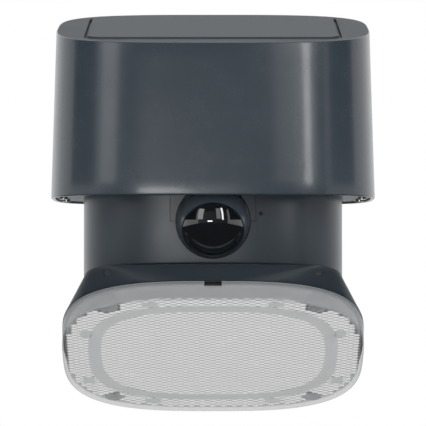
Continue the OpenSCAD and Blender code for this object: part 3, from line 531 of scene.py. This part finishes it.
FAR = 300
lug_boxes = [((sx * 44 - 6.6, NECK_FRONT + 5, -140), (sx * 44 + 6.6, NECK_FRONT + 16, -105)) for sx in (-1, 1)]
socket_spot = ((0, NECK_FRONT + 20, BALL.z), (0, -1, 0), BALL_R + 0.4, 40)
mic_spot = ((32.8, NECK_FRONT + 10, -78), (0, -1, 0), 1.4, 20)
SEAM_X = 29.3


def make_neck_front():
    piece = neck_tube("neck_front")
    carve(piece, cutter_box((-FAR, NECK_Y - FAR, -FAR), (FAR, NECK_Y - 0.05, FAR)), "INTERSECT")
    carve(piece, cutter_cylinders([socket_spot, mic_spot]))
    carve(piece, cutter_box((-SEAM_X, NECK_FRONT - 5, BALL.z), (SEAM_X, NECK_FRONT + 16, 0)))
    for low, high in lug_boxes:
        carve(piece, cutter_box(low, high))
    return piece


def make_retainer():
    piece = neck_tube("ball_insert")
    gap = 0.22
    low = (-SEAM_X + gap, NECK_FRONT - 5, BALL.z + gap)
    carve(piece, cutter_box(low, (SEAM_X - gap, NECK_FRONT + 6, 0)), "INTERSECT")
    carve(piece, cutter_cylinders([socket_spot]))
    return piece


def make_neck_rear():
    piece = neck_tube("neck_rear")
    carve(piece, cutter_box((-FAR, NECK_Y + 0.05, -FAR), (FAR, NECK_Y + FAR, FAR)), "INTERSECT")
    flap_low, flap_high = box_mm("service_flap")
    recess = ((flap_low[0] - 0.6, -36.8, flap_low[2] - 0.4), (flap_high[0] + 0.6, 0, flap_high[2] + 0.4))
    carve(piece, cutter_box(*recess))
    carve(piece, cutter_box((-33, -60, -92), (-6, 0, -82)))
    speaker_low, speaker_high = box_mm("siren_speaker")
    centre_x, centre_z = (speaker_low[0] + speaker_high[0]) / 2, (speaker_low[2] + speaker_high[2]) / 2
    holes = [(centre_x, centre_z)]
    for n in (1, 2):
        for i in range(6 * n):
            a = 2 * pi * i / (6 * n)
            holes.append((centre_x + n * 4.5 * cos(a), centre_z + n * 4.5 * sin(a)))
    spots = [((x, -50, z), (0, 1, 0), 1.0, 40) for x, z in holes]
    carve(piece, cutter_cylinders(spots))
    return piece


dress(make_neck_front(), "housing", "neck_paint", "neck_front_shell")
dress(make_retainer(), "housing", "neck_paint", "ball_retainer")
dress(make_neck_rear(), "housing", "neck_paint", "neck_rear_shell")


# %% [markdown]
# ## The camera ball
# A ball is a turned part, so its front ring and black window are lathed round the lens axis. A small
# chamfer on the ring's rim catches the light as a thin bright line.

# %% Turn the ball's front
def ball_turn():
    """Takes the lathe's axis +Z to the lens axis, which looks ahead and down."""
    lens = Vector((0, -cos(BALL_PITCH), -sin(BALL_PITCH)))
    side = Vector((1, 0, 0))
    up = lens.cross(side)
    turn = Matrix((side, up, lens)).transposed().to_4x4()
    return Matrix.Translation(BALL) @ turn


def arc_profile(radius, start, stop, steps):
    return [(radius * sin(a), radius * cos(a))
            for a in (radians(start + (stop - start) * i / steps) for i in range(steps + 1))]


def lathe(name, profile, material, turn, steps=160, closed=True):
    bm = bmesh.new()
    rings = [[(r * cos(2 * pi * i / steps), r * sin(2 * pi * i / steps), h) for i in range(steps)] for r, h in profile]
    add_loft(bm, rings, closed)
    return build(name, bm, [material], turn)


rim_angle = acos(sqrt(1 - (WINDOW_R / BALL_R) ** 2)) * 180 / pi


def make_ball_ring():
    outer = arc_profile(BALL_R, rim_angle + 1.6, 90, 24)
    rim = [(WINDOW_R * 0.985, (BALL_R - 0.9) * cos(radians(rim_angle))), (WINDOW_R + 0.12, BALL_R * cos(radians(rim_angle)) - 0.05)]
    inner = arc_profile(BALL_R - BALL_WALL, 90, rim_angle, 12)
    return lathe("ball_ring", rim + outer + inner, ball_paint, ball_turn())


def make_ball_window():
    edge = rim_angle - 0.6
    outer = arc_profile(BALL_R - 0.15, 0.5, edge - 1.2, 40)
    lip = [((BALL_R - 0.5) * sin(radians(edge)), (BALL_R - 0.5) * cos(radians(edge)))]
    inner = arc_profile(BALL_R - BALL_WALL, edge, 0.5, 20)
    return lathe("ball_window_cap", outer + lip + inner, black_gloss, ball_turn(), closed=False)


dress(make_ball_ring(), "ball", "shell_paint", "ball_front_shell")
dress(make_ball_window(), "ball", "black_gloss", "ball_window")


# %% [markdown]
# ## The lamp head
# The dark housing is a shallow tray with a soft back edge, carved for the hinge pockets, the screw holes
# and the rubber plugs. The head has its own frame: u runs down the lamp's face, v runs into its depth.

# %% Build the housing
HEAD_FRAME = Matrix.Translation(HEAD_CORNER) @ Matrix.Rotation(HEAD_TURN, 4, "X")


def head_ring(inset, v):
    return [(x, y + HEAD_L / 2, v) for x, y in outline(HEAD_W / 2 - inset, HEAD_L / 2 - inset, HEAD_POWER)]


def rim_point(a, b, power, turn):
    """The point of an outline where its skin faces along turn."""
    c, d = cos(turn), sin(turn)
    k = power / (power - 1)
    size = ((a * abs(c)) ** k + (b * abs(d)) ** k) ** (1 / power)
    x = a * (a * abs(c)) ** (1 / (power - 1)) / size
    y = b * (b * abs(d)) ** (1 / (power - 1)) / size
    return (x if c >= 0 else -x), (y if d >= 0 else -y)


def turns():
    return [2 * pi * (i + 0.5) / STEPS for i in range(STEPS)]


def rim_ring(inset, v):
    points = [rim_point(HEAD_W / 2 - inset, HEAD_L / 2 - inset, HEAD_POWER, t) for t in turns()]
    return [(x, y + HEAD_L / 2, v) for x, y in points]


def back_ring(inset, v):
    """The smaller round rectangle at the housing's back."""
    half_w, half_l, r = BACK_W / 2 - BACK_R, BACK_L / 2 - BACK_R, BACK_R - inset
    middle = BACK_U + BACK_L / 2
    return [((half_w if cos(t) >= 0 else -half_w) + r * cos(t),
             middle + (half_l if sin(t) >= 0 else -half_l) + r * sin(t), v) for t in turns()]


def make_housing():
    waist, cut = HEAD_BACK - WAIST_DROP, BACK_CUT
    rings = [back_ring(cut + 2, HEAD_BACK - HEAD_WALL), back_ring(3, waist - HEAD_WALL)]
    rings += [rim_ring(HEAD_WALL, RIM_V + 0.3), rim_ring(HEAD_WALL - 0.3, RIM_V)]
    rings += [rim_ring(0.3, RIM_V), rim_ring(0, RIM_V + 0.3)]
    outer, top = rim_ring(0, RIM_V + 0.3), back_ring(0, waist)
    rings += [between(outer, top, share) for share in (0.2, 0.4, 0.6, 0.8, 0.96)]
    rings += [back_ring(0.15, waist + 0.35), back_ring(cut - 0.5, HEAD_BACK - 0.25), back_ring(cut + 0.3, HEAD_BACK)]
    bm = bmesh.new()
    add_loft(bm, rings)
    piece = build("lamp_housing", bm, [head_paint], HEAD_FRAME, sharp=24)
    for sx in (-1, 1):
        low, high = (sx * 44 - 10, 3.4, RIM_V + 0.2), (sx * 44 + 10, 25.5, HEAD_BACK - 1.2)
        carve(piece, cutter_box(low, high, HEAD_FRAME), "UNION", sharp=24)
    for sx in (-1, 1):
        low, high = (sx * 44 - 6.6, 6.5, RIM_V + 0.6), (sx * 44 + 6.6, 23.5, HEAD_BACK + 5)
        carve(piece, cutter_box(low, high, HEAD_FRAME), sharp=24)
    spots = [((x, u, RIM_V + 4), (0, 0, 1), 3.2, 30) for x, u in BOSSES]
    for sx in (-1, 1):
        outward = Vector((sx * PLUG_OUT.x, PLUG_OUT.y, PLUG_OUT.z))
        spots.append((Vector((sx * PLUG_AT.x, PLUG_AT.y, PLUG_AT.z)) - outward * 1.6, outward, 2.3, 11))
    carve(piece, cutter_cylinders(spots, HEAD_FRAME), sharp=24)
    return piece


dress(make_housing(), "head", "shell_paint", "head_housing")

# %% [markdown]
# ## The lamp's clear cover
# The cover is a clear moulded tray. Inside its face sits a honeycomb of small domes that spreads the LEDs'
# light, so the tray and the honeycomb are two meshes: one see-through, one pale and almost opaque.

# %% Build the clear tray
RING_W, RING_L, RING_BAND = 174, 155, 9
RING_LOW = 2.9
TABS = [(sx * 43, HEAD_L / 2 + sy * (RING_L / 2 + 2), 11, 8) for sx in (-1, 1) for sy in (-1, 1)]
TABS += [(sx * (RING_W / 2 + 1), HEAD_L / 2 + dy, 8, 11) for sx in (-1, 1) for dy in (-33, 44)]


def make_cover():
    edge = 1.2
    rings = [head_ring(COVER_WALL + 50, COVER_WALL), head_ring(COVER_WALL + 0.6, COVER_WALL)]
    rings += [head_ring(COVER_WALL, COVER_WALL + 0.6), head_ring(COVER_WALL, COVER_DEPTH)]
    rings += [head_ring(0.1, COVER_DEPTH), head_ring(0, COVER_DEPTH - 0.1), head_ring(0, COVER_DEPTH - 0.9)]
    rings += [head_ring(0.35, COVER_DEPTH - 1.1), head_ring(0.35, COVER_DEPTH - 1.7), head_ring(0.1, COVER_DEPTH - 1.9)]
    rings += [head_ring(*step) for step in rounded(edge, 0, 90)]
    rings += [head_ring(edge + 50, 0)]
    # The fifth band paints a highlight along the rim's edge; the sixth to eighth bands paint shade in the groove below
    # it.
    places = [1, 0, 0, 0, 2, 3, 3, 3, 0, 0] + [0] * 5 + [1] * 2
    bm = bmesh.new()
    add_loft(bm, rings, materials=places)
    piece = build("lamp_cover", bm, [clear_wall, clear_face, painted_rim_highlight, painted_rim_shade], HEAD_FRAME)
    for polygon in piece.data.polygons:
        if len(polygon.vertices) == 3:
            polygon.material_index = 1
    return piece


SENSOR_NOTCH = ((-5.9, -1, 10.1), (5.9, 2.45, 14))
cover = make_cover()
carve(cover, cutter_box(*SENSOR_NOTCH, HEAD_FRAME))
dress(cover, "head", "clear_plastic", "clear_cover")

# %% [markdown]
# The honeycomb has about two thousand cells. Each is a low six-sided dome with a groove round it. Cells
# over the light ring, its tabs and the screw bosses are left out, so those stay readable.

# %% Build the honeycomb and the bosses
CELL = 4.42
COLUMN = CELL * sqrt(3) / 2


def inside(x, u, w, l):
    return (abs(x) / (w / 2)) ** HEAD_POWER + (abs(u - HEAD_L / 2) / (l / 2)) ** HEAD_POWER < 1


def cell_stays(x, u):
    return inside(x, u, HEAD_W - 8, HEAD_L - 8) and all(hypot(x - bx, u - bu) > 7 for bx, bu in BOSSES)


def make_honeycomb():
    bm = bmesh.new()
    columns = int(HEAD_W / 2 / COLUMN)
    rows = int(HEAD_L / CELL)
    base = COVER_WALL + 0.25
    levels = [(0.577, 0.0), (0.45, 0.3), (0.37, 0.6), (0.22, 0.9)]
    corners = [(cos(k * pi / 3), sin(k * pi / 3)) for k in range(6)]
    for i in range(-columns, columns + 1):
        for j in range(rows + 1):
            x, u = i * COLUMN, (j + (0.5 if i % 2 else 0)) * CELL + 1.2
            if not cell_stays(x, u):
                continue
            loops = [[bm.verts.new((x + share * CELL * c, u + share * CELL * d, base - rise)) for c, d in corners]
                     for share, rise in ((level[0], level[1] * 0.2) for level in levels)]
            for n, (first, second) in enumerate(zip(loops, loops[1:])):
                for k in range(6):
                    face = bm.faces.new((first[k], first[(k + 1) % 6], second[(k + 1) % 6], second[k]))
                    # The groove slopes carry painted shade: the upper and lower slopes darkest, the side slopes mid
                    # grey.
                    face.material_index = 0 if n else 1 if k in (1, 4) else 2
            bm.faces.new(loops[-1])
            back = bm.verts.new((x, u, base + 0.5))
            for k in range(6):
                bm.faces.new((loops[0][k], loops[0][(k + 1) % 6], back))
    return build("lamp_prisms", bm, [prism_plastic, prism_painted_groove_shade, prism_painted_side_shade], HEAD_FRAME, sharp=40)


def make_band():
    """The flat band, tabs and rings that stay free of cells, in front of the honeycomb."""
    bm = bmesh.new()
    low, high = COVER_WALL + 0.03, COVER_WALL + 0.13

    def ring_at(w, l, v):
        return [(x, y + HEAD_L / 2, v) for x, y in outline(w / 2, l / 2, HEAD_POWER)]

    inner = (RING_W - 2 * RING_BAND, RING_L - 2 * RING_BAND)
    add_loft(bm, [ring_at(RING_W, RING_L, low), ring_at(RING_W, RING_L, high), ring_at(*inner, high), ring_at(*inner, low)], True)
    for x, u, w, l in TABS:
        bmesh.ops.create_cube(bm, size=1, matrix=Matrix.Translation((x, u, (low + high) / 2)) @ Matrix.Diagonal((w, l, high - low, 1)))
    return build("lamp_band", bm, [band_plastic], HEAD_FRAME)


def make_bosses():
    bm = bmesh.new()
    for x, u in BOSSES:
        profile = [(1.6, COVER_DEPTH), (1.6, 4), (0.2, 4), (0.2, COVER_WALL), (6.2, COVER_WALL), (6.2, COVER_DEPTH - 1.2), (6.2, COVER_DEPTH)]
        rings = [[(x + r * cos(2 * pi * i / 64), u + r * sin(2 * pi * i / 64), v) for i in range(64)] for r, v in profile]
        # The last two bands, the boss's top ring, carry painted shade.
        add_loft(bm, rings, True, [0, 0, 0, 0, 0, 1, 1])
    return build("lamp_bosses", bm, [boss_plastic, painted_rim_shade], HEAD_FRAME)


dress(make_honeycomb(), "head", "clear_plastic", "clear_cover")
dress(make_band(), "head", "clear_plastic", "clear_cover")
dress(make_bosses(), "head", "clear_plastic", "clear_cover")

# %% [markdown]
# ## Finishes for the CAD parts that stay
# Brackets, screws, the panel, boards and the ring keep their CAD meshes, whose shapes are already right.

# %% Dress the CAD nodes
def paint(material, *names):
    for name in names:
        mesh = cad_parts[name].data
        mesh.materials.clear()
        mesh.materials.append(material)
    print(material.name, "on", ", ".join(names))


paint(galvanised, "wall_bracket", "hinge_bracket", "motor_bracket")
paint(screw_steel, "lock_screw", "rear_cover_screws", "bottom_cover_screws", "neck_screws", "hinge_bracket_screws")
paint(screw_steel, "cover_screws", "hinge_pins", "tilt_pins", "usb_port", "card_slot", "shield_cans")
paint(back_plastic, "rear_cover")
paint(cover_plastic, "bottom_cover")
paint(roof_paint, "panel_tray")
paint(panel_glass, "panel_glass")
paint(solar_cell, "solar_cells")
paint(rubber, "panel_seal", "ball_seal", "cover_gasket", "housing_plugs", "service_flap", "reset_button")
paint(battery_wrap, "battery_cells")
paint(black_plastic, "battery_holder", "siren_speaker", "pan_yoke", "lens_barrel", "light_sensor", "microphone")
paint(circuit, "main_board", "port_board", "sensor_board", "ir_board")
paint(gold, "wifi_antenna")
paint(alloy, "pan_motor", "tilt_motor", "heat_spreader")
paint(bronze, "pan_bearing", "hinge_washers")
paint(nylon, "pan_gear", "pan_pinion")
paint(ball_paint, "ball_rear_shell")
paint(lens_coating, "lens_glass")
paint(infrared, "ir_leds")
paint(ring_plastic, "light_ring")
paint(white_plastic, "reflector", "led_board")
paint(phosphor, "led_chips")

# %% [markdown]
# ## Floor, lights and camera
# A pale floor, two soft boxes and dark flags, as a product photographer would set them round a glossy dark
# object. The flags and boxes are only seen in reflections.

# %% Set the stage
def stage_plane(name, centre, size, look_at, material, seen=False):
    bm = bmesh.new()
    for x, y in ((-1, -1), (1, -1), (1, 1), (-1, 1)):
        bm.verts.new((x * size[0] / 2, y * size[1] / 2, 0))
    bm.faces.new(bm.verts)
    mesh = bpy.data.meshes.new(name)
    bm.to_mesh(mesh)
    bm.free()
    plane = bpy.data.objects.new(name, mesh)
    bpy.context.scene.collection.objects.link(plane)
    plane.location = centre
    plane.rotation_euler = (Vector(look_at) - Vector(centre)).to_track_quat("Z", "Y").to_euler()
    plane.visible_camera = seen
    mesh.materials.append(material)
    return plane


def glow(name, colour, strength):
    """An emitting card, a little uneven like a real diffuser."""
    material, tree = new_material(name)
    cloud = node(tree, "ShaderNodeTexNoise", {}, {"Scale": 3.0, "Detail": 1.0})
    tint = mix(cloud, tuple(c * 0.94 for c in colour), colour)
    output(tree, node(tree, "ShaderNodeEmission", {}, {"Color": tint, "Strength": strength}))
    return material


def around(azimuth, elevation, distance):
    """A point seen from the object at an angle right of the front, in degrees, at the ball's height."""
    a, e = radians(azimuth), radians(elevation)
    return (distance * sin(a) * cos(e), -0.1 - distance * cos(a) * cos(e), distance * sin(e) - 0.06)


MIDDLE = (0, -0.1, -0.06)
world = bpy.data.worlds.new("studio")
world.use_nodes = True
world.node_tree.nodes["Background"].inputs[0].default_value = (1, 1, 1, 1)
world.node_tree.nodes["Background"].inputs[1].default_value = 1.0
bpy.context.scene.world = world

floor_paint = finish("floor_paint", (0.86, 0.86, 0.86), 0.6, drift=0.01)
FLOOR_Z = -1.9
stage_plane("floor", (0, -0.1, FLOOR_Z), (24, 24), (0, -0.1, 1), floor_paint, seen=True)

def flag(name, centre, size, look_at, dark, bright):
    """A dark card that only reflections see. It brightens towards its own +X side."""
    material, tree = new_material(name)
    across = node(tree, "ShaderNodeSeparateXYZ", {}, {0: node(tree, "ShaderNodeTexCoord", {}, {}, "Object")})
    share = (across * (1 / size[0]) + 0.5).clamp()
    output(tree, node(tree, "ShaderNodeEmission", {}, {"Color": mix(share, dark, bright), "Strength": 1.0}))
    card = stage_plane(name, centre, size, look_at, material)
    card.visible_diffuse = card.visible_shadow = card.visible_transmission = False
    return card


def gray(level):
    return (level * 0.96, level, level * 1.04)


front = (0, -3.9, 0.2)
flag("flag_front", front, (8.0, 6), (0, -0.1, 0.2), gray(0.05), gray(0.22))
for side, azimuth in (("left", -75), ("right", 75)):
    x, y, _ = around(azimuth, 0, 2.8)
    flag("flag_" + side, (x, y, 1.58), (2.2, 3.0), (0, -0.1, 1.58), gray(0.012), gray(0.012))
flag("flag_low", (0, -1.4, -0.6), (6, 5), (0, -1.4, 3), gray(0.03), gray(0.03))
flag("flag_top", (0, -2.4, 3.1), (7, 4.4), MIDDLE, gray(0.03), gray(0.03))
stage_plane("box_left", around(-39, 19, 2.2), (0.62, 1.2), MIDDLE, glow("soft_left", (1, 1, 1), 2.8))
stage_plane("box_right", around(30, 20, 2.2), (0.20, 1.4), MIDDLE, glow("soft_right", (1, 1, 1), 12))
stage_plane("box_wide", around(17, 21, 2.3), (0.5, 1.3), MIDDLE, glow("soft_wide", (1, 1, 1), 1.6))
stage_plane("box_low", around(-9, -2, 2.2), (0.55, 0.12), MIDDLE, glow("soft_low", (1, 1, 1), 19))

camera_data = bpy.data.cameras.new("camera")
camera_data.sensor_width = 36
camera_data.lens = 304.2
camera = bpy.data.objects.new("camera", camera_data)
camera.location = (0, -2.617, -0.165)
camera.rotation_euler = (radians(92.04), 0, 0)
bpy.context.scene.collection.objects.link(camera)
bpy.context.scene.camera = camera
bpy.context.scene.view_settings.view_transform = "Standard"
